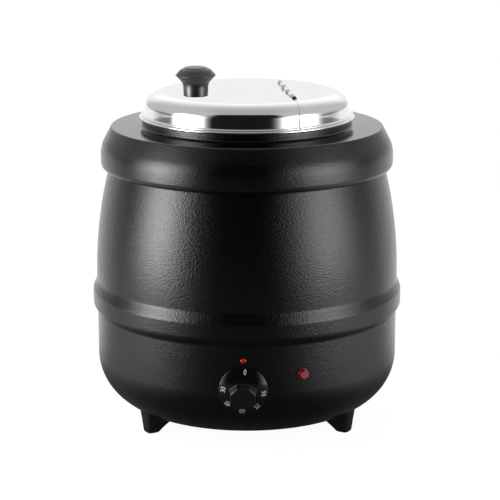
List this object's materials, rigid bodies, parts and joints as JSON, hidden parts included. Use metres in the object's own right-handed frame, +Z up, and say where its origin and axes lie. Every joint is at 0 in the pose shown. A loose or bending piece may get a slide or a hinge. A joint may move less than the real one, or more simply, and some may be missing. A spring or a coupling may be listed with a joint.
{
  "type": "soup kettle",
  "caption": "Round black soup kettle with a bulged body, overhanging top ring, lift-out steel pot, hinged two-part steel lid with knob, thermostat dial and red lamp.",
  "frame": {"origin": "On the kettle axis at table height, where the feet stand.", "axes": "+Z up along the kettle axis, -Y to the front with the dial, +X to the right seen from the front."},
  "size_m": [0.3402, 0.3536, 0.3984],
  "materials": {
    "shell_paint": "hammered black powder coat",
    "ring_paint": "semi-gloss black powder coat",
    "polished_steel": "polished stainless steel",
    "plain_steel": "plain stainless or zinc-plated steel",
    "phenolic": "glossy black phenolic",
    "foot_plastic": "moulded black plastic",
    "red_lens": "red translucent plastic",
    "index_red": "red moulded plastic",
    "seal_rubber": "silicone gasket",
    "inlet_rubber": "moulded rubber bush",
    "insulation": "moulded insulation",
    "wire_sleeve": "heat-proof sleeve",
    "copper": "drawn copper"
  },
  "bodies": {
    "kettle": {"outer_shell": "shell_paint", "top_ring": "ring_paint", "thermostat_body": "insulation", "thermostat_bracket": "plain_steel", "thermostat_nut": "plain_steel", "sensor_bulb": "copper", "capillary_tube": "copper", "bulb_clip": "plain_steel", "index_stud": "index_red", "indicator_lens": "red_lens", "indicator_body": "insulation", "indicator_clip": "plain_steel", "heating_element": "plain_steel", "element_clamp": "plain_steel", "clamp_stud": "plain_steel", "clamp_nuts": "plain_steel", "reflector_spacer": "plain_steel", "heat_reflector": "plain_steel", "thermal_cutout": "insulation", "cutout_clip": "plain_steel", "base_plate": "plain_steel", "base_screws": "plain_steel", "foot_screws": "plain_steel", "foot_nuts": "plain_steel", "terminal_block": "insulation", "terminal_screws": "plain_steel", "earth_stud": "plain_steel", "earth_nut": "plain_steel", "cord_bush": "inlet_rubber", "water_tank": "plain_steel", "tank_seal": "seal_rubber", "ring_studs": "plain_steel", "ring_nuts": "plain_steel", "foot_front_left": "foot_plastic", "foot_front_right": "foot_plastic", "foot_rear": "foot_plastic", "lead_supply": "wire_sleeve", "lead_cutout": "wire_sleeve", "lead_element": "wire_sleeve", "lead_neutral": "wire_sleeve", "lamp_leads": "wire_sleeve"},
    "pot": {"inner_pot": "polished_steel"},
    "lid": {"lid_fixed_part": "polished_steel", "hinge_leaf_fixed": "plain_steel", "hinge_pin": "plain_steel"},
    "flap": {"lid_flap": "polished_steel", "hinge_leaf_flap": "plain_steel", "lid_knob": "phenolic", "knob_screw": "plain_steel", "knob_washer": "inlet_rubber"},
    "dial": {"control_dial": "phenolic", "thermostat_spindle": "plain_steel"}
  },
  "joints": [
    {"name": "pot_lift", "type": "slide", "parent": "kettle", "child": "pot", "axis": [0, 0, 1], "range_m": [0, 0.28]},
    {"name": "lid_lift", "type": "slide", "parent": "pot", "child": "lid", "axis": [0, 0, 1], "range_m": [0, 0.12]},
    {"name": "flap_hinge", "type": "hinge", "parent": "lid", "child": "flap", "pos_m": [0.04322, 0.00577, 0.3676], "axis": [-0.1323, 0.9912, 0], "range_deg": [0, 105]},
    {"name": "dial_turn", "type": "hinge", "parent": "kettle", "child": "dial", "pos_m": [0, -0.17, 0.0815], "axis": [0, 1, 0], "range_deg": [0, 270]}
  ]
}
